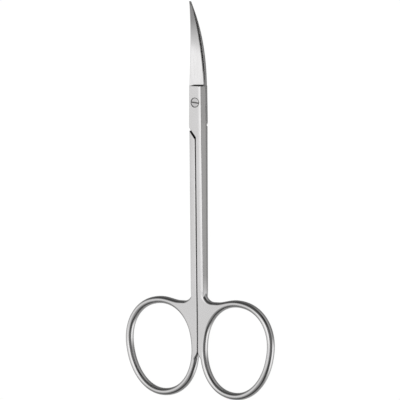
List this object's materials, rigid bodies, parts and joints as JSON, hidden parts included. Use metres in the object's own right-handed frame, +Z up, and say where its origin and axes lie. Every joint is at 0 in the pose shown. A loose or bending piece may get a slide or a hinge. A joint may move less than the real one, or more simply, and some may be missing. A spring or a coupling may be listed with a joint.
{
  "type": "curved iris scissors",
  "caption": "Small fine-pointed scissors with curved blades, a lap joint held by a slotted screw, slim straight shanks and oval finger rings.",
  "frame": {"origin": "on the surface the scissors lie on, under the middle of the closed scissors' length and on the seam between the shanks", "axes": "+Y from the finger rings towards the blade tips, +Z up from the surface, the way the tips curve, +X towards the handle of the front half"},
  "size_m": [0.0508, 0.115, 0.0062],
  "materials": {
    "satin_steel": "fine lengthwise satin grind, brighter on the ring rims",
    "screw_steel": "turned and ground flush, slightly darker than the halves"
  },
  "bodies": {
    "back": {"back_half": "satin_steel", "pivot_screw": "screw_steel"},
    "front": {"front_half": "satin_steel"}
  },
  "joints": [
    {"name": "pivot", "type": "hinge", "parent": "back", "child": "front", "pos_m": [0, 0.0282, 0.00143], "axis": [0, 0, 1], "range_deg": [0, 70]}
  ]
}
